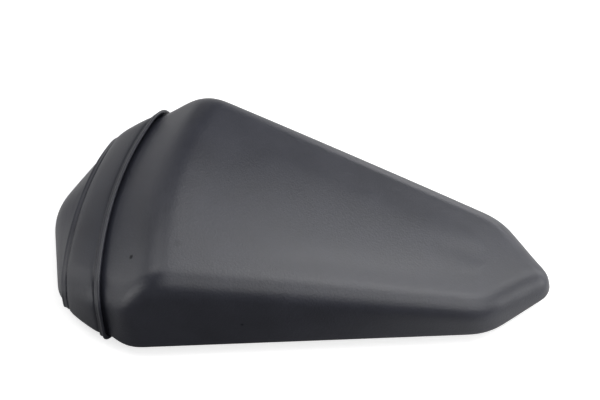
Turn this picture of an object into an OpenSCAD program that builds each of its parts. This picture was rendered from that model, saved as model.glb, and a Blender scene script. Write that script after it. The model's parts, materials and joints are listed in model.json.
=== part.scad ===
// Rear passenger seat of a sports motorcycle: a padded wedge with a grab strap round its front slope.
// The plan is the smooth hull of five circles, and the padding is a height field over that plan.
// Plan sizes run from the nose, +X to the tail and +Y to the rider's right.
// The nodes are moved so that the middle of the box lies over the origin.

/* [Plan outline] */
// Length of the padded seat from nose to tail
seat_len = 333; // [310:1:360]
// Half of the greatest width
half_wide = 92.5; // [84:0.5:100]
// Radius of the blunt nose
nose_r = 44; // [36:1:52]
// Centre of the front corner behind the nose
corner_x = 39.5; // [34:0.5:44]
// Centre of the front corner beside the middle line
corner_y = 49; // [44:0.5:53]
// Radius of the front corner
corner_r = 23; // [18:1:27]
// Widest point behind the nose
wide_x = 79; // [72:1:90]
// Radius at the widest point
wide_r = 23.5; // [18:0.5:30]
// Centre of the tail flank ahead of the tail
flank_back = 56; // [50:1:62]
// Centre of the tail flank beside the middle line
flank_y = 4.7; // [2:0.1:7]
// Radius of the tail flank
flank_r = 41; // [36:1:45]
// Radius of the tail tip
tail_r = 13.7; // [11:0.1:17]

/* [Padded surface] */
// Height of the sharp ridge line on the middle line
ridge_z = 77.5; // [70:0.1:90]
// Ridge behind the nose
ridge_x = 85; // [78:1:95]
// Fall of the top for each mm towards the tail
top_fall = 0.193; // [0.15:0.001:0.21]
// Rise of the front slope for each mm towards the ridge
front_rise = 0.751; // [0.7:0.001:0.82]
// How far the ridge sweeps back at the sides
ridge_sweep = 14.3; // [6:0.1:18]
// How far the top drops from the middle line to the sides
side_drop = 9; // [5:0.1:13]
// Inset of the side wall for each mm of its height
side_draft = 0.137; // [0.11:0.001:0.18]
// Radius of the shoulder between the top and the sides
shoulder_r = 15; // [11:0.1:18]
// Height over which the front slope blends into the top
ridge_blend = 9.7; // [6:0.1:14]
// Radius of the front slope's hollow
hollow_r = 450; // [380:1:900]
// Radius of the top's rounding towards the tail
crown_r = 8330; // [6000:10:12000]

/* [Cover and foam] */
// Height of the cover's lower edge above the ground
hem_z = 9; // [8:0.1:12]
// Radius of the cover's rolled lower edge
hem_r = 3; // [2:0.1:4]
// Thickness of the vinyl cover
cover_t = 1.2; // [0.8:0.1:1.5]
// Width of the cover turned under the pan
turn_in = 15; // [12:0.5:17]
// Length of one edge of the plan's facets
plan_step = 14; // [10:1:20]

/* [Base pan] */
// Thickness of the pan's rim and walls
pan_t = 3; // [2.4:0.1:3.6]
// Gap between the pan's edge and the outline
pan_edge = 3; // [2:0.1:4]
// Inset of the raised middle of the pan
raise_in = 22; // [20:0.5:23]
// Rise of the middle above the rim
raise_h = 6.8; // [5:0.1:8]
// Thickness of a rib
rib_t = 2; // [1.4:0.1:3]
// Depth of a rib
rib_h = 4.5; // [3:0.1:5]
// Distance of the long ribs from the middle line
rib_y = 25; // [23:0.5:27]
// Front cross rib behind the nose
front_rib_x = 86; // [82:1:90]
// Rear cross rib ahead of the tail
rear_rib_back = 82; // [78:1:86]
// Radius of a vent hole
vent_r = 3; // [2:0.1:4]
// Distance of the vent holes from the middle line
vent_y = 14; // [11:0.5:18]
// Wall of a screw boss round its insert
boss_wall = 2.8; // [2:0.1:3.2]
// Wall of a foot's boss round the stem
foot_boss_wall = 4; // [3:0.1:4.5]
// Plastic left over an insert
insert_cap = 2; // [1.5:0.1:2.5]

/* [Grab strap] */
// Front edge of the strap behind the nose
strap_x = 20.3; // [18:0.1:23]
// Width of the strap, measured in plan
strap_w = 30.2; // [26:0.1:32]
// How far the strap sweeps back at its reference width
strap_sweep = 8; // [5:0.1:10]
// Reference half width of that sweep
sweep_y = 75; // [70:1:80]
// Thickness of the strap at its middle
strap_t = 3; // [2.6:0.1:3.4]
// Thickness of the webbing inside
web_t = 1.3; // [1:0.1:1.6]
// Gap between the strap and the cover
strap_gap = 0.35; // [0.3:0.05:0.5]
// Inset of the strap screw from the outline
screw_in = 29; // [28.5:0.1:31]
// Length of strap past its screw
strap_tail = 9; // [7:0.5:11]

/* [Hook at the nose] */
// Front end of the hook behind the nose
hook_x = 8; // [5:0.5:14]
// Length of the hook's forward tongue
tongue_len = 36; // [32:0.5:40]
// Length of the riveted part
hook_seat = 30; // [26:0.5:34]
// Width of the hook plate
hook_w = 36; // [30:1:40]
// Thickness of the hook plate
hook_t = 2.5; // [2:0.1:3]
// Height of the tongue above the ground
tongue_z = 2; // [1.5:0.1:2.2]
// Inner radius of the hook plate's folds
fold_r = 1.5; // [1:0.1:1.8]
// Cut at the tongue's front corners
tongue_cut = 8; // [5:0.5:10]
// Distance of a rivet from the hook plate's edge
rivet_edge = 8; // [7:0.5:10]
// Radius of a rivet
rivet_r = 2; // [1.5:0.1:2.4]
// Height of a rivet's head
rivet_head_h = 1.8; // [1.4:0.1:2]
// Depth of a rivet's countersink
sink_h = 1.8; // [1.4:0.1:2]

/* [Latch striker] */
// Middle of the striker behind the nose
striker_x = 210; // [200:1:216]
// Radius of the striker's round bar
bar_r = 3; // [2.5:0.1:3.5]
// Distance between the axes of the striker's legs
leg_gap = 22; // [20:0.5:24]
// Height of the striker's bar axis above the ground
bar_z = 7; // [5:0.1:9]
// Bend radius of the striker's bar axis
bend_r = 6; // [4.5:0.1:8]
// Length of the striker plate
plate_len = 56; // [52:1:58]
// Width of the striker plate
plate_w = 32; // [30:1:35]
// Thickness of the striker plate
plate_t = 2.5; // [2:0.1:3]
// Inner length of the pan's recess
recess_len = 58; // [58:0.5:60]
// Inner width of the pan's recess
recess_w = 38; // [36:0.5:40]
// Height of the recess's roof above the raised middle
recess_h = 12; // [10:0.1:13]
// Distance between the two striker bolts
bolt_gap = 38; // [34:0.5:40]
// Radius of a striker bolt
bolt_r = 3; // [2.5:0.1:3.5]
// Height of a striker nut
nut_h = 5; // [4:0.1:6]
// Length of bolt past its nut
bolt_past = 1; // [0.5:0.1:1.5]
// Room round a nut in the foam
nut_room = 2; // [1.5:0.1:2.5]

/* [Rubber feet] */
// Radius of a rubber foot
foot_r = 11; // [9:0.5:12]
// Rounding of a foot's lower edge
foot_round = 2; // [1:0.1:2.5]
// Radius of a foot's stem
stem_r = 4; // [3:0.1:5]
// Length of a foot's stem
stem_len = 6; // [5:0.1:6.5]
// Front feet behind the nose
front_foot_x = 100; // [96:1:106]
// Middle feet behind the nose
mid_foot_x = 156; // [150:1:162]
// Tail foot ahead of the tail
tail_foot_back = 52; // [48:1:56]
// Inset of the paired feet from the outline
foot_in = 36; // [35:0.5:38]

/* [Fasteners] */
// Radius of a strap screw
screw_r = 2.5; // [2:0.1:3]
// Height of a strap screw's head
screw_head_h = 2.4; // [1.8:0.1:2.6]
// Length of the pointed end of a strap screw
screw_tip = 0.7; // [0.5:0.1:1]
// Room over a strap screw in its insert's bore
screw_room = 1.3; // [1:0.1:1.6]
// Length of a strap plate
keeper_len = 26; // [24:0.5:28]
// Width of a strap plate
keeper_w = 13; // [11:0.5:14]
// Thickness of a strap plate
keeper_t = 2; // [1.5:0.1:2.2]
// Wall of a threaded insert
insert_wall = 1.2; // [0.8:0.1:1.6]
// Radial clearance of a screw, rivet or stem in its hole
hole_gap = 0.1; // [0.05:0.01:0.2]
// Spacing of the staples along the turned-in cover
staple_step = 27; // [22:1:36]
// Length of a staple's crown
staple_w = 10; // [8:0.5:12]
// Thickness of the staple wire
wire_t = 0.6; // [0.4:0.05:0.8]
// Width of the staple wire
wire_w = 1.2; // [0.8:0.1:1.6]
// Clear distance between a staple and the strap
staple_clear = 3; // [2:0.5:4]

/* [Hidden] */
$fn = 48;
past = 1;
side_z = hem_z + hem_r;
rim_z = hem_z + cover_t;
rim_top = rim_z + pan_t;
raise_top = rim_top + raise_h;
raise_under = raise_top - pan_t;
recess_roof = raise_under + recess_h;
recess_top = recess_roof + pan_t;
plate_z = recess_roof - plate_t;
strap_z = hem_z - strap_gap - strap_t;
vinyl = "#4a4b50";
vinyl_dark = "#3c3d42";
black_plastic = "#2a2b2d";
zinc = "#b9bbb6";
brass = "#b08d4a";

// Outline as a hull of circles, on the +Y side
centres = [[nose_r, 0], [corner_x, corner_y], [wide_x, half_wide - wide_r],
           [seat_len - flank_back, flank_y], [seat_len - tail_r, 0]];
radii = [nose_r, corner_r, wide_r, flank_r, tail_r];
last = len(radii) - 1;
function tangent(i) = let(d = centres[i + 1] - centres[i])
    atan2(d.y, d.x) + acos((radii[i] - radii[i + 1]) / norm(d));
turns = concat([180], [for (i = [0:last - 1]) tangent(i)], [0]);
function way(a) = [cos(a), sin(a)];
function cross2(a, b) = a.x * b.y - a.y * b.x;
arc_step = 9;
function arc(i) = let(n = ceil((turns[i] - turns[i + 1]) / arc_step))
    [for (k = [0:n]) centres[i] + radii[i] * way(turns[i] + (turns[i + 1] - turns[i]) * k / n)];
function between(a, b) = let(n = ceil(norm(b - a) / plan_step)) [for (k = [1:1:n - 1]) a + (b - a) * k / n];
half_plan = [for (i = [0:last]) let(p = arc(i)) each concat(
    p, i < last ? between(p[len(p) - 1], arc(i + 1)[0]) : [])];
count_half = len(half_plan);
plan = concat(half_plan, [for (i = [count_half - 2:-1:1]) [half_plan[i].x, -half_plan[i].y]]);
plan_n = len(plan);

// Distance of a plan point inside the outline
function to_tangents(p) = min([for (i = [0:last - 1]) radii[i] - way(turns[i + 1]) * (p - centres[i])]);
function to_arcs(p) = min([for (i = [0:last]) let(v = p - centres[i])
    cross2(way(turns[i]), v) <= 0 && cross2(v, way(turns[i + 1])) <= 0 ? radii[i] - norm(v) : 1000]);
function inset_of(x, y) = let(p = [x, abs(y)]) min(to_tangents(p), to_arcs(p));

// Height of the padded surface over a plan point
function blend_min(a, b, k) = let(h = max(k - abs(a - b), 0) / k) min(a, b) - h * h * k / 4;
function top_z(x, y) = let(w = pow(y / half_wide, 2), back = x - ridge_x,
    front = min(back - ridge_sweep * w, 0),
    flat_top = ridge_z - top_fall * back - pow(max(back, 0), 2) / (2 * crown_r),
    slope = ridge_z + front_rise * (back - ridge_sweep * w) + front * front / (2 * hollow_r))
    blend_min(flat_top, slope, ridge_blend) - side_drop * w;
function round_in(r, rise) = r * sqrt(1 + side_draft * side_draft) + side_draft * (rise - r);
function shoulder_z(d, r, rise) = let(u = min(max(round_in(r, rise) - d, 0), r * cos(atan(side_draft))))
    min(rise - r + sqrt(r * r - u * u), d / side_draft);
function pad_z(x, y) = let(rise = max(top_z(x, y) - side_z, 0.5))
    side_z + shoulder_z(max(inset_of(x, y), 0), min(shoulder_r, rise * 0.9), rise);
function unit(v) = v / norm(v);
function pad_normal(x, y) = let(e = 0.2)
    unit([pad_z(x - e, y) - pad_z(x + e, y), pad_z(x, y - e) - pad_z(x, y + e), 2 * e]);

// Rings of points, each a step further in from the outline towards a spine
spine_past_nose = 15;
spine_off_tail = 50;
spine_start = nose_r + spine_past_nose;
spine_end = seat_len - spine_off_tail;
function spine(p) = [min(max(p.x, spine_start), spine_end), 0];
function inward(p) = unit(spine(p) - p);
function ring(d) = [for (p = plan) p + inward(p) * min(d, norm(spine(p) - p))];
function deep_ring(d, share) = [for (p = plan) let(run = norm(spine(p) - p))
    p + inward(p) * (d + (run - d) * share)];
rim_inset = (rim_top - side_z + cover_t / 4) * side_draft;
insets = [rim_inset, 1.2, 2.4, 4, 6, 8.5, 11.5, 15.5, 21, 28];
deep_shares = [0.25, 0.5, 0.75, 0.92];
pad_rings = concat([for (d = insets) ring(d)], [for (s = deep_shares) deep_ring(insets[len(insets) - 1], s)]);
function at_z(pts, z) = [for (p = pts) [p.x, p.y, z]];
function outer_ring(pts) = [for (p = pts) [p.x, p.y, pad_z(p.x, p.y)]];
function lining_ring(pts) = [for (p = pts) [p.x, p.y, pad_z(p.x, p.y)] - cover_t * pad_normal(p.x, p.y)];
function lining() = concat([at_z(lining_ring(pad_rings[0]), rim_top)],
    [for (k = [1:len(pad_rings) - 1]) lining_ring(pad_rings[k])]);
function flip(list) = [for (i = [len(list) - 1:-1:0]) list[i]];

// Closed solid through rows of equal length, with a capped first and last row.
// The quads' diagonals mirror over the middle line, and turn in rows that run from the inside out.
function quad(a, b, c, d, turn) = turn ? [[a, b, d], [b, c, d]] : [[a, b, c], [a, c, d]];
function wall_faces(rows, n, outwards = 0) = [for (r = [0:rows - 2], i = [0:n - 1])
    let(j = (i + 1) % n, a = r * n, b = a + n, turn = (r < outwards) != (i >= n / 2))
    each quad(a + i, a + j, b + j, b + i, turn)];
function strip_cap(a, n) = let(m = n / 2) concat(
    [[a, a + n - 1, a + 1], [a + m - 1, a + m + 1, a + m]],
    [for (i = [1:m - 2]) each [[a + i, a + n - i - 1, a + i + 1], [a + i, a + n - i, a + n - i - 1]]]);
function turned(faces) = [for (f = faces) flip(f)];
module mirrored_loft(rows, outwards = 0) {
    n = len(rows[0]);
    polyhedron([for (row = rows) each row], concat(wall_faces(len(rows), n, outwards), strip_cap(0, n),
        turned(strip_cap((len(rows) - 1) * n, n))), convexity = 6);
}

// Grab strap: stations run from the left end under the pan, over the front slope, to the right end
function strap_line(share, y) = strap_x + share * strap_w + strap_sweep * pow(y / sweep_y, 2);
halvings = 24;
function edge_y(share, low, high, tries) = let(mid = (low + high) / 2) tries == 0 ? mid :
    inset_of(strap_line(share, mid), mid) > 0 ? edge_y(share, mid, high, tries - 1)
                                              : edge_y(share, low, mid, tries - 1);
function strap_edge(share) = let(y = edge_y(share, 0, half_wide, halvings)) [strap_line(share, y), y];
under_way = -way(turns[2]);
strap_foot = strap_edge(0.5);
function under_point(inset) = strap_foot + under_way * inset;
screw_at = under_point(screw_in);
strap_end_in = screw_in + strap_tail;
side_shares = [0.013, 0.028, 0.043, 0.06, 0.078, 0.1, 0.13, 0.173, 0.238, 0.346, 0.497];
side_steps = [for (s = side_shares) s * half_wide];
roll_steps = [0, 30, 60, 90];
function roll_point(share, angle, lift) = let(e = strap_edge(share), c = e + under_way * hem_r,
    r = hem_r + strap_gap + lift, p = c - under_way * r * cos(angle)) [p.x, p.y, side_z - r * sin(angle)];
function under_end(share, lift) = let(e = strap_edge(share),
    p = e + under_way * ((under_point(strap_end_in) - e) * under_way)) [p.x, p.y, hem_z - strap_gap - lift];
function side_point(share, step, lift) = let(y = strap_edge(share).y - step, x = strap_line(share, y))
    [x, y, pad_z(x, y)] + (strap_gap + lift) * pad_normal(x, y);
function half_stations(share, lift) = concat([under_end(share, lift)],
    [for (a = flip(roll_steps)) roll_point(share, a, lift)],
    [for (s = side_steps) side_point(share, s, lift)], [side_point(share, strap_edge(share).y * 0.8, lift)]);
function other_side(pts) = [for (p = flip(pts)) [p.x, -p.y, p.z]];
function strap_run(share, lift) = let(left = half_stations(share, lift))
    concat(left, [side_point(share, strap_edge(share).y, lift)], other_side(left));
seam = 0.13;
sleeve_shares = [0, 0.04, seam - 0.03, seam, seam + 0.05, 0.35, 0.5, 0.65,
                 0.95 - seam, 1 - seam, 1.02 - seam, 0.97, 1];
sleeve_lifts = [0.7, 0.85, 0.85, 0.6, 0.85, 1, 1, 1, 0.85, 0.6, 1, 1.05, 0.5];
web_bottom = (strap_t - web_t) / 2;
web_in = 0.2;
function sleeve_loop() = concat(
    [for (k = [0:len(sleeve_shares) - 1]) strap_run(sleeve_shares[k], sleeve_lifts[k] * strap_t)],
    [for (s = flip(sleeve_shares)) strap_run(s, 0)]);
function web_share(s) = web_in + (1 - 2 * web_in) * s;
function web_loop() = concat([for (s = sleeve_shares) strap_run(web_share(s), web_bottom + web_t * 0.6)],
    [for (s = flip(sleeve_shares)) strap_run(web_share(s), web_bottom)]);
function across(lines) = [for (k = [0:len(lines[0]) - 1]) [for (line = lines) line[k]]];
function end_ring(a, b, n) = [for (i = [0:n - 1]) let(j = (i + 1) % n)
    each [[a + i, b + j, a + j], [a + i, b + i, b + j]]];
module sleeve_body() {
    outside = across(sleeve_loop());
    inside = across(web_loop());
    n = len(outside[0]);
    rows = len(outside);
    all_out = rows * n;
    end = (rows - 1) * n;
    polyhedron([for (row = concat(outside, inside)) each row], concat(wall_faces(rows, n),
        [for (f = turned(wall_faces(rows, n))) [f[0] + all_out, f[1] + all_out, f[2] + all_out]],
        end_ring(0, all_out, n), turned(end_ring(end, all_out + end, n))), convexity = 8);
}
module web_body() {
    rows = across(web_loop());
    n = len(rows[0]);
    end = (len(rows) - 1) * n;
    polyhedron([for (row = rows) each row], concat(wall_faces(len(rows), n),
        [[for (i = [n - 1:-1:0]) i]], [[for (i = [0:n - 1]) end + i]]), convexity = 6);
}

// Places along the turned-in cover for the staples
staple_in = (hem_r + turn_in) / 2;
staple_path = ring(staple_in);
function path_len(k) = k == 0 ? 0 : path_len(k - 1) + norm(staple_path[k] - staple_path[k - 1]);
path_marks = [for (k = [0:plan_n - 1]) path_len(k)];
half_run = path_marks[count_half - 1];
staple_count = floor(half_run / staple_step);
function mark_before(s) = max([for (k = [0:count_half - 2]) path_marks[k] <= s ? k : 0]);
function staple_place(k) = let(s = (k + 0.5) * half_run / staple_count, m = mark_before(s),
    a = staple_path[m], b = staple_path[m + 1], d = unit(b - a))
    [a + d * (s - path_marks[m]), atan2(d.y, d.x)];
strap_clear = staple_w / 2 + staple_clear;
function under_strap(p) = abs(cross2(under_way, p - strap_foot)) < strap_w / 2 + strap_clear;
staple_places = [for (k = [0:staple_count - 1]) let(s = staple_place(k)) if (!under_strap(s[0])) s];
leg_len = cover_t + pan_t * 0.8;

module placed() translate([-seat_len / 2, 0, 0]) children();
module on_both_sides() {
    children();
    mirror([0, 1, 0]) children();
}
module at_level(z, height) translate([0, 0, z]) linear_extrude(height) children();
module ring_shape(d) polygon(ring(d));
module hole(r, low, high) translate([0, 0, low]) cylinder(r = r, h = high - low);

module staple_legs() {
    for (side = [-1, 1]) translate([side * (staple_w / 2 - wire_t / 2), 0, hem_z + leg_len / 2])
        cube([wire_t, wire_w, leg_len], center = true);
}
module staple() {
    translate([0, 0, hem_z - wire_t / 2]) cube([staple_w, wire_w, wire_t], center = true);
    staple_legs();
}
module each_staple() {
    on_both_sides() for (s = staple_places) translate(s[0]) rotate(s[1]) children();
}

module cover() color(vinyl) placed() difference() {
    mirrored_loft(concat(flip(lining()), [at_z(ring(cover_t), side_z), at_z(ring(hem_r), rim_z),
        at_z(ring(turn_in), rim_z), at_z(ring(turn_in), hem_z), at_z(ring(hem_r), hem_z),
        at_z(ring(hem_r * 0.29), hem_z + hem_r * 0.29), at_z(plan, side_z)],
        [for (pts = pad_rings) outer_ring(pts)]), len(pad_rings) - 1);
    each_staple() staple_legs();
}

nut_r = bolt_r * 1.9;
bolt_tip = recess_top + nut_h + bolt_past;
module at_bolts() for (side = [-1, 1]) translate([striker_x + side * bolt_gap / 2, 0, 0]) children();
module foam_core() color("#c9b458") placed() difference() {
    mirrored_loft(concat([at_z(ring(raise_in), raise_top), at_z(ring(raise_in), rim_top)], lining()));
    recess_block(pan_t, raise_top - past, recess_top);
    at_bolts() hole(nut_r + nut_room, recess_top - past, bolt_tip + nut_room / 4);
}

rivet_x = hook_x + tongue_len + hook_seat * 0.6;
rivet_hole = rivet_r + hole_gap;
rivet_y = hook_w / 2 - rivet_edge;
module at_rivets() on_both_sides() translate([rivet_x, rivet_y, 0]) children();
boss_r = screw_r + insert_wall + boss_wall;
insert_top = raise_top - insert_cap;
foot_boss_r = stem_r + foot_boss_wall;
mid_rib_x = (front_foot_x + mid_foot_x) / 2;
rib_xs = [front_rib_x, front_foot_x, mid_rib_x, mid_foot_x,
          seat_len - rear_rib_back, seat_len - tail_foot_back];
function foot_y(x) = edge_half(x, 0, half_wide, halvings) - foot_in;
function edge_half(x, low, high, tries) = let(mid = (low + high) / 2) tries == 0 ? mid :
    inset_of(x, mid) > 0 ? edge_half(x, mid, high, tries - 1) : edge_half(x, low, mid, tries - 1);
feet = [[front_foot_x, foot_y(front_foot_x)], [mid_foot_x, foot_y(mid_foot_x)]];
tail_foot = [seat_len - tail_foot_back, 0];
vent_xs = [(front_foot_x + mid_rib_x) / 2, (mid_rib_x + mid_foot_x) / 2];
module at_feet() {
    for (f = feet) on_both_sides() translate(f) children();
    translate(tail_foot) children();
}
module rib_net() intersection() {
    ring_shape(raise_in + pan_t / 2);
    union() {
        on_both_sides() translate([rib_xs[0], rib_y - rib_t / 2]) square([seat_len, rib_t]);
        for (x = rib_xs) translate([x - rib_t / 2, -half_wide]) square([rib_t, 2 * half_wide]);
    }
}
module recess_block(grow, low, high) translate([striker_x, 0, (low + high) / 2])
    cube([recess_len + 2 * grow, recess_w + 2 * grow, high - low], center = true);
module base_pan() color(black_plastic) placed() difference() {
    union() {
        at_level(rim_z, pan_t) difference() {
            ring_shape(pan_edge);
            ring_shape(raise_in + pan_t);
        }
        at_level(rim_z, raise_top - rim_z) difference() {
            ring_shape(raise_in);
            ring_shape(raise_in + pan_t);
        }
        at_level(raise_under, pan_t) ring_shape(raise_in);
        at_level(raise_under - rib_h, rib_h) rib_net();
        recess_block(pan_t, raise_under - rib_h, recess_top);
        on_both_sides() translate(screw_at) hole(boss_r, hem_z - strap_gap, raise_top);
        at_feet() hole(foot_boss_r, rim_z, raise_top);
    }
    recess_block(0, rim_z, recess_roof);
    at_bolts() hole(bolt_r + hole_gap, recess_roof - past, recess_top + past);
    on_both_sides() translate(screw_at) hole(screw_r + insert_wall, hem_z - strap_gap - past, insert_top);
    at_feet() hole(stem_r + hole_gap, rim_z - past, rim_z + stem_len + 3 * hole_gap);
    at_rivets() {
        hole(rivet_hole, raise_under - past, raise_top - sink_h / 2);
        translate([0, 0, raise_top - sink_h])
            cylinder(r1 = rivet_hole, r2 = rivet_hole + sink_h, h = sink_h);
    }
    for (x = vent_xs) on_both_sides() translate([x, vent_y]) hole(vent_r, raise_under - past, raise_top + past);
    each_staple() staple_legs();
}

module at_screw_holes() on_both_sides() translate(screw_at) children();
module strap_sleeve() color(vinyl_dark) placed() difference() {
    sleeve_body();
    at_screw_holes() hole(screw_r + hole_gap, strap_z - past, hem_z);
}
module strap_webbing() color("#1d1d1f") placed() difference() {
    web_body();
    at_screw_holes() hole(screw_r + hole_gap, strap_z - past, hem_z);
}
keeper_z = strap_z - keeper_t;
module strap_plate() color(zinc) placed() translate(screw_at) rotate(turns[2] - 90) difference() {
    translate([-keeper_len / 2, -keeper_w / 2, keeper_z]) cube([keeper_len, keeper_w, keeper_t]);
    hole(screw_r + hole_gap, keeper_z - past, strap_z + past);
}
screw_len = insert_top - keeper_z - screw_room;
module strap_screw() color(zinc) placed() translate([screw_at.x, screw_at.y, keeper_z])
    rotate_extrude() polygon([[0, -screw_head_h], [screw_r * 1.2, -screw_head_h],
        [screw_r * 1.8, -screw_head_h * 0.5], [screw_r * 1.8, 0], [screw_r, 0],
        [screw_r, screw_len - screw_tip], [screw_r - screw_tip, screw_len], [0, screw_len]]);
module strap_insert() color(brass) placed() translate(screw_at) difference() {
    hole(screw_r + insert_wall, hem_z - strap_gap, insert_top - 0.5);
    hole(screw_r, hem_z - strap_gap - past, insert_top);
}

// Folded hook: a riveted seat, a step down and a tongue that points forwards
function bend(c, r, from, to) = [for (k = [0:6]) c + r * way(from + (to - from) * k / 6)];
hook_bend = hook_t + fold_r;
web_x = hook_x + tongue_len;
module hook_side() polygon(concat([[hook_x, tongue_z]],
    bend([web_x - hook_bend, tongue_z + hook_bend], hook_bend, -90, 0),
    bend([web_x + hook_bend - hook_t, raise_under - hook_bend], hook_bend - hook_t, 180, 90),
    [[web_x + hook_seat, raise_under - hook_t], [web_x + hook_seat, raise_under]],
    bend([web_x + hook_bend - hook_t, raise_under - hook_bend], hook_bend, 90, 180),
    bend([web_x - hook_bend, tongue_z + hook_bend], hook_bend - hook_t, 0, -90),
    [[hook_x, tongue_z + hook_t]]));
hook_end = web_x + hook_seat;
module hook_plan() polygon([[hook_x, hook_w / 2 - tongue_cut], [hook_x + tongue_cut, hook_w / 2],
    [hook_end, hook_w / 2], [hook_end, -hook_w / 2],
    [hook_x + tongue_cut, -hook_w / 2], [hook_x, tongue_cut - hook_w / 2]]);
module hook_plate() color(zinc) placed() difference() {
    intersection() {
        translate([0, hook_w / 2, 0]) rotate([90, 0, 0]) linear_extrude(hook_w) hook_side();
        at_level(0, raise_top) hook_plan();
    }
    at_rivets() hole(rivet_hole, raise_under - hook_t - past, raise_top);
}
rivet_len = hook_t + pan_t;
module hook_rivet() color(zinc) placed() translate([rivet_x, rivet_y, raise_under - hook_t])
    rotate_extrude() polygon([[0, -rivet_head_h], [rivet_r, -rivet_head_h * 0.9],
        [rivet_r * 2, -rivet_head_h / 3], [rivet_r * 2, 0], [rivet_r, 0],
        [rivet_r, rivet_len - sink_h], [rivet_r + sink_h, rivet_len], [0, rivet_len]]);

module striker_plate() color(zinc) placed() difference() {
    translate([striker_x - plate_len / 2, -plate_w / 2, plate_z]) cube([plate_len, plate_w, plate_t]);
    at_bolts() hole(bolt_r + hole_gap, plate_z - past, recess_roof + past);
}
module striker_loop() color(zinc) placed() translate([striker_x, 0, bar_z]) {
    on_both_sides() {
        translate([0, leg_gap / 2, bend_r]) cylinder(r = bar_r, h = plate_z - bar_z - bend_r);
        translate([0, leg_gap / 2 - bend_r, bend_r]) rotate([0, 90, 0])
            rotate_extrude(angle = 90) translate([bend_r, 0]) circle(bar_r);
    }
    rotate([90, 0, 0]) cylinder(r = bar_r, h = leg_gap - 2 * bend_r, center = true);
}
head_h = bolt_r * 1.1;
module bolted(side) placed() translate([striker_x + side * bolt_gap / 2, 0, 0]) children();
module striker_bolt(side) color(zinc) bolted(side) {
    translate([0, 0, plate_z - head_h]) cylinder(r = nut_r, h = head_h, $fn = 6);
    hole(bolt_r, plate_z, bolt_tip);
}
module striker_nut(side) color(zinc) bolted(side) difference() {
    translate([0, 0, recess_top]) cylinder(r = nut_r, h = nut_h, $fn = 6);
    hole(bolt_r, recess_top - past, recess_top + nut_h + past);
}

module rubber_foot(at) color("#1b1b1b") placed() translate(at) rotate_extrude() polygon([
    [0, 0], [foot_r - foot_round, 0], [foot_r - foot_round * 0.3, foot_round * 0.3], [foot_r, foot_round],
    [foot_r, rim_z - foot_round / 2], [foot_r - foot_round / 2, rim_z], [stem_r, rim_z],
    [stem_r, rim_z + stem_len * 0.8], [stem_r * 0.75, rim_z + stem_len], [0, rim_z + stem_len]]);
module cover_staples() color(zinc) placed() each_staple() staple();
module to_left() mirror([0, 1, 0]) children();

cover();
foam_core();
base_pan();
strap_sleeve();
strap_webbing();
to_left() strap_plate();  // strap_plate_left
strap_plate();  // strap_plate_right
to_left() strap_screw();  // strap_screw_left
strap_screw();  // strap_screw_right
to_left() strap_insert();  // strap_insert_left
strap_insert();  // strap_insert_right
hook_plate();
to_left() hook_rivet();  // hook_rivet_left
hook_rivet();  // hook_rivet_right
striker_plate();
striker_loop();
striker_bolt(-1);  // striker_bolt_front
striker_bolt(1);  // striker_bolt_rear
striker_nut(-1);  // striker_nut_front
striker_nut(1);  // striker_nut_rear
to_left() rubber_foot(feet[0]);  // foot_front_left
rubber_foot(feet[0]);  // foot_front_right
to_left() rubber_foot(feet[1]);  // foot_mid_left
rubber_foot(feet[1]);  // foot_mid_right
rubber_foot(tail_foot);  // foot_tail
cover_staples();
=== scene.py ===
"""Looks of a motorcycle's rear seat: grained vinyl cover, sewn grab strap and the fittings below."""
import json
import math

import bpy
import numpy as np
from mathutils import Matrix, Vector


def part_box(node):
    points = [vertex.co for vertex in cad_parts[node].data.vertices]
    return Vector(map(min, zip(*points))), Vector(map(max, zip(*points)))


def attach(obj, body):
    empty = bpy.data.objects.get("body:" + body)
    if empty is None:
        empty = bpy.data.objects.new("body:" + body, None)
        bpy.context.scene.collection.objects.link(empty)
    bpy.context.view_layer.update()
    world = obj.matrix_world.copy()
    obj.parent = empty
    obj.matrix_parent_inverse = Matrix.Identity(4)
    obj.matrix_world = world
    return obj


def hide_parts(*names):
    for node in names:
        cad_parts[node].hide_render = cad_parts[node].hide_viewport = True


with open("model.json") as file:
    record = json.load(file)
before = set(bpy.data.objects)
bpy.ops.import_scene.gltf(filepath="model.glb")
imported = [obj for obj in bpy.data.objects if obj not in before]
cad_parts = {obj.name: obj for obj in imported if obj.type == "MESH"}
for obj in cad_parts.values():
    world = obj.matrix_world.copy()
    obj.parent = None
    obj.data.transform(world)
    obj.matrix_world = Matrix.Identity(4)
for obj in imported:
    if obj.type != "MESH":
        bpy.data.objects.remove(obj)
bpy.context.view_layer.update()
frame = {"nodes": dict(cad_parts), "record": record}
MM = 0.001
ROOT = "root"

# Plan of the seat in millimetres, from the nose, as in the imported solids
COVER_LOW, COVER_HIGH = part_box("cover")
SEAT_LEN = (COVER_HIGH[0] - COVER_LOW[0]) / MM
NOSE_AT = COVER_LOW[0] / MM
HEM_Z = COVER_LOW[2] / MM
CENTRES = np.array([[44.0, 0.0], [39.5, 49.0], [79.0, 69.0], [SEAT_LEN - 56.0, 4.7], [SEAT_LEN - 13.7, 0.0]])
RADII = np.array([44.0, 23.0, 23.5, 41.0, 13.7])
HALF_WIDE = float(CENTRES[2, 1] + RADII[2])

# Padded surface: height over the plan
RIDGE_Z = 77.5
RIDGE_X = 85.0
TOP_FALL = 0.193
FRONT_RISE = 0.751
RIDGE_SWEEP = 14.3
SIDE_DROP = 9.0
SIDE_DRAFT = 0.137
SHOULDER_R = 15.0
SHOULDER_SHARE = 0.9
LEAST_RISE = 0.5
RIDGE_BLEND = 9.7
HOLLOW_R = 450.0
CROWN_R = 8330.0

# Rolled hem, turned-in edge and skin
HEM_RISE = 3.0
SIDE_Z = HEM_Z + HEM_RISE
SLANT = math.atan(SIDE_DRAFT)
HEM_R = HEM_RISE / (1 + math.sin(SLANT))
TURN_IN = 15.0
COVER_T = 1.2

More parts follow.
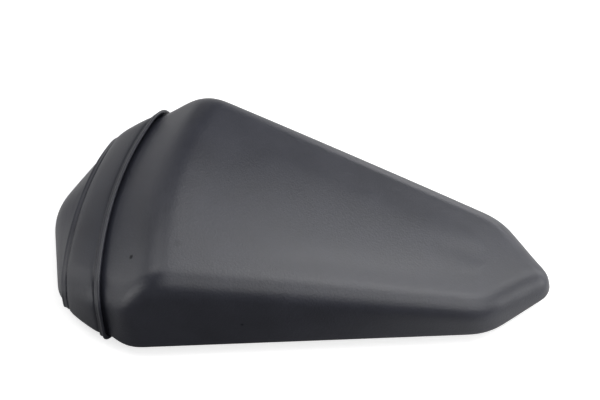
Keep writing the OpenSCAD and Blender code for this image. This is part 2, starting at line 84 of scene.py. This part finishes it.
# Rows of the cover's mesh: step along the outline, insets below, over the shoulder and on the top
COVER_STEP = 4.4
SPINE = (59.0, SEAT_LEN - 50.0)
UNDER_INSETS = (TURN_IN, 10.0, 6.0, 4.0)
HEM_STEPS = 5
SIDE_INSETS = np.concatenate([np.linspace(0, 6, 9), np.linspace(7.4, 18, 8), np.linspace(21, 30, 4)])
TOP_SHARES = np.linspace(0, 0.97, 14)[1:]

# Settling of the cover, in millimetres: how much smaller it starts, and how far it may swell and sink
START_IN = 0.8
MOST_SWELL = 0.9
MOST_SINK = 0.3
SETTLE_FRAMES = 20
SMOOTH_PASSES = 10
CALM_ROWS = 12
CALM_REACH = 12
HELD_PAST_STRAP = 0.08

# Grab strap, plan positions on the middle line
STRAP_X = 20.3
STRAP_W = 30.2
STRAP_SWEEP = 8.0
SWEEP_Y = 75.0
STRAP_GAP = 0.35
STRAP_TAIL_IN = 38.0

# Cross-section of the strap: share of its width, and lift of its upper side in millimetres
SECTION = [(0.0, 0.3), (0.001, 0.95), (0.006, 1.65), (0.014, 2.05), (0.026, 1.95), (0.04, 1.6), (0.07, 1.55),
           (0.1, 1.6), (0.117, 1.4), (0.126, 0.85), (0.134, 0.75), (0.142, 1.25), (0.155, 1.8), (0.18, 2.15),
           (0.24, 2.55), (0.34, 2.9), (0.46, 3.05), (0.58, 3.05), (0.7, 2.9), (0.78, 2.65), (0.825, 2.3),
           (0.845, 1.75), (0.856, 1.25), (0.865, 1.2), (0.874, 2.0), (0.884, 2.95), (0.896, 3.25),
           (0.91, 3.1), (0.935, 2.95), (0.96, 3.15), (0.98, 3.6), (0.993, 3.6), (1.003, 3.1), (1.006, 2.4),
           (1.0, 1.8), (0.985, 1.45)]
UNDERSIDE = [(0.955, 1.2), (0.92, 0.7), (0.86, 0.1), (0.6, 0.0), (0.3, 0.0), (0.12, 0.0), (0.03, 0.0)]

# Stitches: the seams as share and lift, and the thread in millimetres
SEAMS = ((0.13, 0.85), (0.866, 1.3))
STITCH_PITCH = 3.4
STITCH_LEN = 2.5
STITCH_R = 0.3
STITCH_LIFT = 0.2
STITCH_DIP = 0.48
STITCH_RINGS = 7
STITCH_SIDES = 8

# Tones, linear, and the vinyl's gloss, roughness and grain
COVER_TONE = (0.0285, 0.03, 0.041)
STRAP_TONE = (0.0265, 0.028, 0.038)
THREAD_TONE = (0.055, 0.058, 0.068)
WEB_TONE = (0.02, 0.02, 0.022)
SPOT_TONE = (0.004, 0.004, 0.005, 1)
COVER_GLOSS = 0.77
STRAP_GLOSS = 0.66
VINYL_ROUGH = 0.35
PEBBLE_MM = 1.3

# Small dark marks on the cover, in millimetres from the nose, with radius and depth of tone
SPOTS = [((74.8, -59.4, 61.6), 2.0, 0.75), ((277.1, 38.2, 33.9), 1.5, 0.45), ((146.9, -74.9, 28.9), 1.3, 0.5),
         ((103.1, -50.6, 71.0), 3.2, 0.14)]

# Finishes of the plain solids: tone, roughness, metallic, scale of the grain and its depth in millimetres
FINISHES = {
    "seat_foam": ((0.62, 0.47, 0.16), 0.9, 0.0, 900.0, 0.25),
    "pan_plastic": ((0.018, 0.018, 0.019), 0.5, 0.0, 700.0, 0.04),
    "zinc_steel": ((0.6, 0.6, 0.57), 0.35, 1.0, 500.0, 0.02),
    "insert_brass": ((0.72, 0.5, 0.2), 0.35, 1.0, 500.0, 0.02),
    "hook_steel": ((0.5, 0.5, 0.48), 0.42, 1.0, 300.0, 0.03),
    "striker_steel": ((0.62, 0.62, 0.6), 0.28, 1.0, 500.0, 0.02),
    "foot_rubber": ((0.016, 0.016, 0.016), 0.75, 0.0, 500.0, 0.06),
    "staple_steel": ((0.65, 0.65, 0.66), 0.3, 1.0, 500.0, 0.01),
}

# Ground, in metres: levels of its bounce in front of the seat and elsewhere, and of its glow near and far
FLOOR_HALF = 6.0
FLOOR_TONE = (0.8, 0.8, 0.8, 1)
FLOOR_BOUNCE = (0.1, 0.75)
BOUNCE_FROM = (0.0, -0.35, 0.0)
BOUNCE_SPAN = (0.24, 0.36)
FLOOR_GLOW = (0.65, 1.0)
GLOW_SPAN = (0.3, 0.8)
WORLD_TONE = (0.97, 0.98, 1.0, 1)
WORLD_LEVELS = (0.02, 1.0)

# Soft lamps round the seat: elevation, azimuth from +X towards +Y in degrees, and the level each shows
LAMPS = [(62, 0, 2.97), (10, 0, 2.54), (62, 60, 2.21), (36, 324, 2.05), (10, 72, 2.04), (10, 36, 2.01),
         (36, 36, 1.93), (10, 216, 1.88), (62, 180, 1.7), (36, 288, 1.13), (10, 180, 1.12), (90, 0, 0.9),
         (62, 300, 0.72), (10, 108, 0.4), (10, 144, 0.4), (36, 180, 0.55), (36, 0, 0.43), (62, 120, 0.33),
         (36, 144, 0.31)]
LAMP_FAR = 1.0
LAMP_SIZE = 0.5

# The photograph's view: azimuth, elevation and roll in degrees, distance and target in metres
VIEW_TURNS = (13.08, 51.3, -2.134)
VIEW_FAR = 0.9032
VIEW_TARGET = Vector((-0.0036, 0.0282, 0.030))
SENSOR = 36.0
LENS = 81.29


def unit(v):
    """Vectors of length one, along the last axis."""
    return v / np.linalg.norm(v, axis=-1, keepdims=True)


def way(angle):
    """Plan direction at an angle from +X."""
    return np.array([math.cos(angle), math.sin(angle)])


def tangent_angles():
    """Directions of the outline's outward normals where one circle gives way to the next."""
    angles = [math.pi]
    for i in range(len(RADII) - 1):
        d = CENTRES[i + 1] - CENTRES[i]
        angles.append(math.atan2(d[1], d[0]) + math.acos((RADII[i] - RADII[i + 1]) / np.linalg.norm(d)))
    return angles + [0.0]


TURNS = tangent_angles()
UNDER_WAY = -way(TURNS[2])


def inset_of(x, y):
    """Distance of plan points inside the outline."""
    x, y = np.asarray(x, float), np.abs(np.asarray(y, float))
    gap = np.full(np.broadcast(x, y).shape, np.inf)
    for i, (c, r) in enumerate(zip(CENTRES, RADII)):
        a, b = way(TURNS[i]), way(TURNS[i + 1])
        vx, vy = x - c[0], y - c[1]
        if i < len(RADII) - 1:
            gap = np.minimum(gap, r - (b[0] * vx + b[1] * vy))
        inside = (a[0] * vy - a[1] * vx <= 0) & (vx * b[1] - vy * b[0] <= 0)
        gap = np.where(inside, np.minimum(gap, r - np.hypot(vx, vy)), gap)
    return gap


def blend_min(a, b, k):
    """The smaller of two heights, rounded where they lie within k of each other."""
    h = np.maximum(k - np.abs(a - b), 0) / k
    return np.minimum(a, b) - h * h * k / 4


def top_z(x, y):
    """Height of the top and the front slope, without the shoulder."""
    w = (y / HALF_WIDE) ** 2
    back = x - RIDGE_X
    front = np.minimum(back - RIDGE_SWEEP * w, 0)
    flat_top = RIDGE_Z - TOP_FALL * back - np.maximum(back, 0) ** 2 / (2 * CROWN_R)
    slope = RIDGE_Z + FRONT_RISE * (back - RIDGE_SWEEP * w) + front * front / (2 * HOLLOW_R)
    return blend_min(flat_top, slope, RIDGE_BLEND) - SIDE_DROP * w


def pad_z(x, y):
    """Height of the padded surface, with its drafted sides and round shoulder."""
    rise = np.maximum(top_z(x, y) - SIDE_Z, LEAST_RISE)
    d = np.maximum(inset_of(x, y), 0)
    r = np.minimum(SHOULDER_R, rise * SHOULDER_SHARE)
    round_in = r * math.hypot(1, SIDE_DRAFT) + SIDE_DRAFT * (rise - r)
    u = np.clip(round_in - d, 0, r * math.cos(SLANT))
    return SIDE_Z + np.minimum(rise - r + np.sqrt(r * r - u * u), d / SIDE_DRAFT)


def pad_normal(x, y, e=0.1):
    """Outward directions of the padded surface, from heights e to each side."""
    return unit(np.stack([pad_z(x - e, y) - pad_z(x + e, y), pad_z(x, y - e) - pad_z(x, y + e),
                          np.full(np.shape(x), 2 * e)], -1))


def hem_arc(steps):
    """Inset, height and angle of points round the hem, from its lowest line to the foot of the side."""
    for a in np.linspace(math.pi / 2, -SLANT, steps + 1)[:-1]:
        yield HEM_R * (math.cos(SLANT) - math.cos(a)), SIDE_Z - HEM_R * (math.sin(a) + math.sin(SLANT)), a


def outline(step):
    """Even points round the plan, from the nose over +Y to the tail and back."""
    half = []
    for i, (c, r) in enumerate(zip(CENTRES, RADII)):
        n = max(4, math.ceil(r * (TURNS[i] - TURNS[i + 1]) / step))
        half += [c + r * way(t) for t in np.linspace(TURNS[i], TURNS[i + 1], n + 1)]
        if i < len(RADII) - 1:
            start, end = half[-1], CENTRES[i + 1] + RADII[i + 1] * way(TURNS[i + 1])
            n = math.ceil(np.linalg.norm(end - start) / step)
            half += [start + (end - start) * k / n for k in range(1, n)]
    half = np.array(half)
    return np.vstack([half, (half * [1, -1])[1:-1][::-1]])


def placed(points):
    """Millimetres from the nose to metres in the frame."""
    out = np.array(points, float)
    out[..., 0] += NOSE_AT
    return out * MM


def mesh_object(name, verts, faces, smooth=True):
    mesh = bpy.data.meshes.new(name)
    mesh.from_pydata([tuple(v) for v in verts], [], faces)
    mesh.validate()
    mesh.polygons.foreach_set("use_smooth", [smooth] * len(mesh.polygons))
    obj = bpy.data.objects.new(name, mesh)
    bpy.context.scene.collection.objects.link(obj)
    return obj


def grid_faces(rows, n):
    """Quads between closed rows of n points."""
    return [(r * n + i, r * n + (i + 1) % n, (r + 1) * n + (i + 1) % n, (r + 1) * n + i)
            for r in range(rows - 1) for i in range(n)]


def tube_faces(rows, n):
    """The quads of a closed tube and its two end faces."""
    last = (rows - 1) * n
    return grid_faces(rows, n) + [tuple(reversed(range(n))), tuple(last + i for i in range(n))]


def mirror_cap(start, n):
    """Strips across the middle line that close a ring of mirrored points."""
    faces = [(start, start + 1, start + n - 1), (start + n // 2 - 1, start + n // 2, start + n // 2 + 1)]
    faces += [(start + i, start + i + 1, start + n - i - 1, start + n - i) for i in range(1, n // 2 - 1)]
    return faces


def coordinates(mesh):
    flat = np.empty(len(mesh.vertices) * 3)
    mesh.vertices.foreach_get("co", flat)
    return flat.reshape(-1, 3)


def apply_modifiers(obj):
    graph = bpy.context.evaluated_depsgraph_get()
    mesh = bpy.data.meshes.new_from_object(obj.evaluated_get(graph))
    obj.modifiers.clear()
    obj.data = mesh


def add_cloth(skin):
    """Cloth pressed from inside, with the vertex group named held pinned in place."""
    cloth = skin.modifiers.new("cloth", "CLOTH")
    cloth.settings.quality = 6
    cloth.settings.mass = 0.3
    cloth.settings.tension_stiffness = 40
    cloth.settings.compression_stiffness = 40
    cloth.settings.shear_stiffness = 20
    cloth.settings.bending_stiffness = 4
    cloth.settings.vertex_group_mass = "held"
    cloth.settings.use_pressure = True
    cloth.settings.uniform_pressure_force = 4
    cloth.settings.effector_weights.gravity = 0
    cloth.collision_settings.use_collision = False
    cloth.point_cache.frame_start = 1
    cloth.point_cache.frame_end = SETTLE_FRAMES


def even_out(lift, inner):
    """Smooth the lift over its rows, and make the rows next to the spine agree where they meet.

    inner is the place along the seat of each point of the innermost row.
    """
    for _ in range(SMOOTH_PASSES):
        lift = (lift + np.roll(lift, 1, 1) + np.roll(lift, -1, 1) + np.vstack([lift[1:], lift[-1:]])
                + np.vstack([lift[:1], lift[:-1]])) / 5
    near = np.exp(-((inner[:, None] - inner) / (CALM_REACH * MM)) ** 2)
    calm = np.linspace(0, 1, CALM_ROWS)[:, None]
    lift[-CALM_ROWS:] = lift[-CALM_ROWS:] * (1 - calm) + near @ lift[-1] / near.sum(1) * calm
    return lift


def settle(skin, held, around):
    """Let the skin settle as cloth over the push of the foam, from a slightly smaller shape.

    The rows have around points each, and held is 1 where the skin stays. The travel is kept along the
    normals.
    """
    mesh = skin.data
    rest = coordinates(mesh)
    normals = np.array([v.normal for v in mesh.vertices])
    start = rest - normals * (START_IN * MM * (1 - held))[:, None]
    mesh.vertices.foreach_set("co", start.ravel())
    group = skin.vertex_groups.new(name="held")
    for i in np.nonzero(held > 0)[0]:
        group.add([int(i)], float(held[i]), "REPLACE")
    add_cloth(skin)
    scene = bpy.context.scene
    for frame_no in range(1, SETTLE_FRAMES + 1):
        scene.frame_set(frame_no)
    done = skin.evaluated_get(bpy.context.evaluated_depsgraph_get()).to_mesh()
    travel = coordinates(done) - start
    reach = np.linalg.norm(travel, axis=1).max()
    most = MOST_SWELL * MM
    lift = np.sum((start + travel * min(1.0, 2 * most / reach) - rest) * normals, axis=1).reshape(-1, around)
    lift = even_out(lift, rest.reshape(-1, around, 3)[-1, :, 0])
    lift = np.clip(lift.ravel(), -MOST_SINK * MM, most) * (1 - held)
    skin.modifiers.clear()
    skin.vertex_groups.clear()
    scene.frame_set(1)
    mesh.vertices.foreach_set("co", (rest + normals * lift[:, None]).ravel())
    mesh.update()


def add_cover():
    """The vinyl skin: turned-in edge, rolled hem, sides and top, settled as cloth and given its thickness."""
    plan = outline(COVER_STEP)
    n = len(plan)
    spine = np.stack([np.clip(plan[:, 0], *SPINE), np.zeros(n)], -1)
    run = np.linalg.norm(spine - plan, axis=1)
    inward = (spine - plan) / run[:, None]

    def ring(inset):
        return plan + inward * np.minimum(inset, run)[:, None]

    rows = [np.c_[ring(d), np.full(n, HEM_Z)] for d in UNDER_INSETS]
    rows += [np.c_[ring(inset), np.full(n, z)] for inset, z, _ in hem_arc(HEM_STEPS)]
    hem_rows = len(rows) + 1
    rings = [ring(d) for d in SIDE_INSETS]
    last = SIDE_INSETS[-1]
    rings += [plan + inward * (last + (run - last) * share)[:, None] for share in TOP_SHARES]
    rows += [np.c_[xy, pad_z(xy[:, 0], xy[:, 1])] for xy in rings]
    points = np.vstack(rows)
    faces = [f[::-1] for f in grid_faces(len(rows), n) + mirror_cap((len(rows) - 1) * n, n)]
    cover = mesh_object("cover_vinyl", placed(points), faces)
    band = (points[:, 0] - STRAP_X - STRAP_SWEEP * (points[:, 1] / SWEEP_Y) ** 2) / STRAP_W
    held = np.where((band > -HELD_PAST_STRAP) & (band < 1 + HELD_PAST_STRAP), 1.0, 0.0)
    held[:hem_rows * n] = 1.0
    settle(cover, held, n)
    shell = cover.modifiers.new("thickness", "SOLIDIFY")
    shell.thickness = COVER_T * MM
    shell.offset = -1
    smooth = cover.modifiers.new("smooth", "SUBSURF")
    smooth.levels = smooth.render_levels = 1
    apply_modifiers(cover)
    cover.data.polygons.foreach_set("use_smooth", [True] * len(cover.data.polygons))
    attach(cover, ROOT)
    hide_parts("cover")
    return cover


def strap_line(share, y):
    """Place along the seat of a line at this share of the strap's width."""
    return STRAP_X + share * STRAP_W + STRAP_SWEEP * (y / SWEEP_Y) ** 2


def strap_edge(share):
    """Plan point where a line along the strap crosses the outline."""
    low, high = 0.0, HALF_WIDE
    for _ in range(40):
        mid = (low + high) / 2
        if inset_of(strap_line(share, mid), mid) > 0:
            low = mid
        else:
            high = mid
    return np.array([strap_line(share, low), low])


def strap_lines(share):
    """Points and outward directions along the strap, from its end under the pan on -Y to the one on +Y."""
    edge = strap_edge(share)
    run = float((strap_edge(0.5) + UNDER_WAY * STRAP_TAIL_IN - edge) @ UNDER_WAY)
    points, normals = [], []
    for s in np.linspace(run, HEM_R, 14)[:-1]:
        points.append([*(edge + UNDER_WAY * s), HEM_Z])
        normals.append([0, 0, -1])
    for inset, z, a in hem_arc(12):
        points.append([*(edge + UNDER_WAY * inset), z])
        normals.append([*(-UNDER_WAY * math.cos(a)), -math.sin(a)])
    steps = np.concatenate([np.linspace(0, 5, 11), np.linspace(5.6, 14, 14), np.linspace(15, edge[1], 36)])
    y = edge[1] - steps
    x = strap_line(share, y)
    half = np.vstack([points, np.stack([x, y, pad_z(x, y)], -1)])
    half_n = np.vstack([normals, pad_normal(x, y)])
    flip = np.array([1, -1, 1])
    return np.vstack([half * flip, half[:-1][::-1]]), np.vstack([half_n * flip, half_n[:-1][::-1]])


def add_strap():
    """The sewn sleeve: a padded middle between two seams, a flat edge in front and a raised one behind."""
    lines = []
    for share, lift in SECTION + UNDERSIDE:
        p, n = strap_lines(share)
        lines.append(p + n * (STRAP_GAP + lift))
    verts = np.stack(lines, 1)
    strap = mesh_object("strap_sleeve_vinyl", placed(verts.reshape(-1, 3)),
                        [f[::-1] for f in tube_faces(*verts.shape[:2])])
    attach(strap, ROOT)
    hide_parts("strap_sleeve")
    return strap


def stitch(at, up):
    """Rings of points round one thread stitch that bows up from the seam and sinks in at both ends."""
    across = np.cross(up, unit(at[-1] - at[0]))
    rings = []
    for p, t in zip(at, np.linspace(-1, 1, STITCH_RINGS)):
        size = STITCH_R * math.sqrt(max(1 - t ** 4, 0.06))
        middle = p + up * (STITCH_LIFT - STITCH_DIP * t * t)
        for j in range(STITCH_SIDES):
            a = 2 * math.pi * j / STITCH_SIDES
            rings.append(middle + (up * math.sin(a) + across * math.cos(a)) * size)
    return rings


def add_stitches():
    """Short thread stitches along the strap's two seams."""
    verts, faces = [], []
    for share, lift in SEAMS:
        p, n = strap_lines(share)
        p = p + n * (STRAP_GAP + lift)
        travel = np.concatenate([[0], np.cumsum(np.linalg.norm(np.diff(p, axis=0), axis=1))])

        def along(values, s):
            return np.stack([np.interp(s, travel, values[:, k]) for k in range(3)], -1)

        for s in np.arange(STITCH_PITCH, travel[-1] - STITCH_PITCH, STITCH_PITCH):
            at = along(p, np.linspace(s, s + STITCH_LEN, STITCH_RINGS))
            up = unit(along(n, s + STITCH_LEN / 2))
            faces += [tuple(len(verts) + i for i in f) for f in tube_faces(STITCH_RINGS, STITCH_SIDES)]
            verts += stitch(at, up)
    thread = mesh_object("strap_stitches", placed(np.array(verts)), faces)
    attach(thread, ROOT)
    return thread


def new_material(name):
    mat = bpy.data.materials.new(name)
    mat.use_nodes = True
    tree = mat.node_tree
    return mat, tree, tree.nodes["Principled BSDF"]


def feed(tree, place, term):
    """Link a socket to the input, or set a plain value there."""
    if isinstance(term, bpy.types.NodeSocket):
        tree.links.new(term, place)
    else:
        place.default_value = term


def node(tree, kind, inputs, **settings):
    """A new node with its settings, and its inputs fed by name or index."""
    made = tree.nodes.new("ShaderNode" + kind)
    for key, value in settings.items():
        setattr(made, key, value)
    for key, term in inputs.items():
        feed(tree, made.inputs[key], term)
    return made


def object_place(tree):
    return node(tree, "TexCoord", {}).outputs["Object"]


def calc(tree, operation, a, b):
    return node(tree, "Math", {0: a, 1: b}, operation=operation).outputs[0]


def distance(tree, place, at):
    return node(tree, "VectorMath", {0: place, 1: at}, operation="DISTANCE").outputs["Value"]


def noise(tree, place, scale, detail, **more):
    return node(tree, "TexNoise", {"Vector": place, "Scale": scale, "Detail": detail, **more}).outputs["Fac"]


def map_range(tree, value, low, high, span=(0.0, 1.0), kind="LINEAR"):
    """The value mapped from the span to between low and high."""
    inputs = {"Value": value, "From Min": span[0], "From Max": span[1], "To Min": low, "To Max": high}
    return node(tree, "MapRange", inputs, interpolation_type=kind).outputs["Result"]


def two_tones(tree, factor, tone, dark, light, stops=(0.3, 0.7)):
    """A ramp between a darker and a lighter version of the tone."""
    made = node(tree, "ValToRGB", {"Fac": factor})
    for stop, at, level in zip(made.color_ramp.elements, stops, (dark, light)):
        stop.position = at
        stop.color = tuple(level * c for c in tone) + (1,)
    return made.outputs["Color"]


def raise_grain(tree, shader, height, strength, depth):
    bump = node(tree, "Bump", {"Height": height, "Strength": strength, "Distance": depth})
    feed(tree, shader.inputs["Normal"], bump.outputs["Normal"])


def vinyl(name, tone, gloss, spots=()):
    """Embossed vinyl: a pebble grain, faint patches in tone and gloss, and dull dark marks."""
    mat, tree, shader = new_material(name)
    place = object_place(tree)
    pebble = node(tree, "TexVoronoi", {"Vector": place, "Scale": 1000 / PEBBLE_MM}, feature="SMOOTH_F1")
    fine = noise(tree, place, 2600.0, 3.0)
    patch = noise(tree, place, 38.0, 5.0, Roughness=0.6)
    raise_grain(tree, shader, calc(tree, "ADD", pebble.outputs["Distance"], fine), 0.6, 0.12 * MM)
    colour = two_tones(tree, patch, tone, 0.86, 1.14)
    shine = gloss
    for at, radius, depth in spots:
        gap = distance(tree, place, tuple(placed(at)))
        mask = map_range(tree, gap, depth, 0.0, (radius * 0.4 * MM, radius * MM), "SMOOTHSTEP")
        mix = node(tree, "Mix", {"Factor": mask, "A": colour, "B": SPOT_TONE}, data_type="RGBA")
        colour = mix.outputs["Result"]
        shine = calc(tree, "MULTIPLY", shine, calc(tree, "SUBTRACT", 1.0, mask))
    feed(tree, shader.inputs["Base Color"], colour)
    feed(tree, shader.inputs["Roughness"], map_range(tree, patch, VINYL_ROUGH - 0.05, VINYL_ROUGH + 0.05))
    feed(tree, shader.inputs["Specular IOR Level"], shine)
    return mat


def speckled(name, tone, roughness, metallic, scale, depth_mm):
    """A fine grained finish: tone and gloss vary broadly, and the height with a fine noise."""
    mat, tree, shader = new_material(name)
    place = object_place(tree)
    fine = noise(tree, place, scale * 4, 4.0)
    broad = noise(tree, place, scale / 6, 5.0)
    feed(tree, shader.inputs["Base Color"], two_tones(tree, broad, tone, 0.88, 1.12))
    gloss = map_range(tree, broad, max(roughness - 0.1, 0.05), min(roughness + 0.1, 1.0))
    feed(tree, shader.inputs["Roughness"], gloss)
    raise_grain(tree, shader, fine, 0.5, depth_mm * MM)
    shader.inputs["Metallic"].default_value = metallic
    return mat


def woven(name, tone):
    """Plain weave of a narrow webbing."""
    mat, tree, shader = new_material(name)
    place = object_place(tree)
    threads = {"Vector": place, "Scale": 420.0}
    warp, weft = (node(tree, "TexWave", threads, bands_direction=axis).outputs["Fac"] for axis in "XY")
    weave = calc(tree, "MULTIPLY", warp, weft)
    feed(tree, shader.inputs["Base Color"], two_tones(tree, weave, tone, 0.6, 1.0, (0.0, 1.0)))
    raise_grain(tree, shader, weave, 0.7, 0.2 * MM)
    shader.inputs["Roughness"].default_value = 0.85
    return mat


def dress_nodes():
    """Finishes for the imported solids, but for the cover's, which the skin takes the place of."""
    finishes = {slot: speckled(f"{slot}_finish", *values) for slot, values in FINISHES.items()}
    finishes["strap_vinyl"] = vinyl("vinyl_strap_flat", STRAP_TONE, STRAP_GLOSS)
    finishes["strap_web"] = woven("strap_web_finish", WEB_TONE)
    slots = {part["node"]: part["material_slot"] for part in frame["record"]["subparts"]}
    for name, obj in frame["nodes"].items():
        mat = finishes.get(slots[name])
        if mat is None:
            continue
        if not obj.material_slots:
            obj.data.materials.append(mat)
        for place in obj.material_slots:
            place.material = mat


def add_floor():
    """A pale ground that the camera sees as white paper with the seat's shadow.

    It throws light back all round but for the side that faces the camera.
    """
    corners = [(x * FLOOR_HALF, y * FLOOR_HALF, 0) for x, y in ((-1, -1), (1, -1), (1, 1), (-1, 1))]
    floor = mesh_object("floor", corners, [(0, 1, 2, 3)], smooth=False)
    mat, tree, shader = new_material("floor_paper")
    shader.inputs["Base Color"].default_value = FLOOR_TONE
    shader.inputs["Roughness"].default_value = 0.9
    shader.inputs["Specular IOR Level"].default_value = 0.0
    place = object_place(tree)
    # The ground is given a darker colour in front of the seat, towards the camera, for the light it throws
    # back onto the seat: painted shade in place of the seat's shadow there.
    before = distance(tree, place, BOUNCE_FROM)
    bounce = map_range(tree, before, *FLOOR_BOUNCE, BOUNCE_SPAN, "SMOOTHSTEP")
    dim = node(tree, "BsdfDiffuse", {"Color": bounce})
    away = node(tree, "VectorMath", {0: place}, operation="LENGTH").outputs["Value"]
    glow = node(tree, "Emission", {"Strength": map_range(tree, away, *FLOOR_GLOW, GLOW_SPAN, "SMOOTHSTEP")})
    seen = node(tree, "AddShader", {0: shader.outputs["BSDF"], 1: glow.outputs["Emission"]})
    path = node(tree, "LightPath", {})
    pick = node(tree, "MixShader", {"Fac": path.outputs["Is Camera Ray"], 1: dim.outputs["BSDF"],
                                    2: seen.outputs["Shader"]})
    tree.links.new(pick.outputs["Shader"], tree.nodes["Material Output"].inputs["Surface"])
    floor.data.materials.append(mat)


def add_world():
    """A white surrounding for the camera, and a nearly dark one for the light on the seat."""
    world = bpy.data.worlds.new("studio")
    bpy.context.scene.world = world
    world.use_nodes = True
    tree = world.node_tree
    back = tree.nodes["Background"]
    back.inputs["Color"].default_value = WORLD_TONE
    path = node(tree, "LightPath", {})
    level = map_range(tree, path.outputs["Is Camera Ray"], *WORLD_LEVELS)
    feed(tree, back.inputs["Strength"], level)


def add_lamps():
    """Square lamps on a dome, each aimed at the seat and unseen by the camera."""
    for elevation, azimuth, level in LAMPS:
        name = f"lamp_{elevation}_{azimuth}"
        lamp = bpy.data.lights.new(name, "AREA")
        lamp.shape = "SQUARE"
        lamp.size = LAMP_SIZE
        lamp.energy = level * math.pi * LAMP_SIZE * LAMP_SIZE
        obj = bpy.data.objects.new(name, lamp)
        e, a = math.radians(elevation), math.radians(azimuth)
        at = LAMP_FAR * Vector((math.cos(e) * math.cos(a), math.cos(e) * math.sin(a), math.sin(e)))
        obj.location = at
        obj.rotation_euler = (-at).to_track_quat("-Z", "Y").to_euler()
        obj.visible_camera = False
        bpy.context.scene.collection.objects.link(obj)


def add_camera():
    azimuth, elevation, roll = (math.radians(a) for a in VIEW_TURNS)
    back = Vector((math.sin(azimuth) * math.cos(elevation), -math.cos(azimuth) * math.cos(elevation),
                   math.sin(elevation)))
    right = Vector((math.cos(azimuth), math.sin(azimuth), 0))
    up = back.cross(right)
    side = right * math.cos(roll) + up * math.sin(roll)
    rise = up * math.cos(roll) - right * math.sin(roll)
    cam = bpy.data.cameras.new("camera")
    cam.sensor_width = SENSOR
    cam.lens = LENS
    obj = bpy.data.objects.new("camera", cam)
    turn = Matrix((side, rise, back)).transposed().to_4x4()
    obj.matrix_world = Matrix.Translation(VIEW_TARGET + back * VIEW_FAR) @ turn
    bpy.context.scene.collection.objects.link(obj)
    bpy.context.scene.camera = obj


bpy.context.scene.view_settings.view_transform = "Standard"
add_camera()
add_floor()
add_world()
add_lamps()

cover_skin = add_cover()
cover_skin.data.materials.clear()
cover_skin.data.materials.append(vinyl("vinyl_cover", COVER_TONE, COVER_GLOSS, SPOTS))
strap_sleeve = add_strap()
strap_sleeve.data.materials.append(vinyl("vinyl_strap", STRAP_TONE, STRAP_GLOSS))
stitches = add_stitches()
stitches.data.materials.append(speckled("thread_grey", THREAD_TONE, 0.55, 0.0, 900.0, 0.05))
dress_nodes()
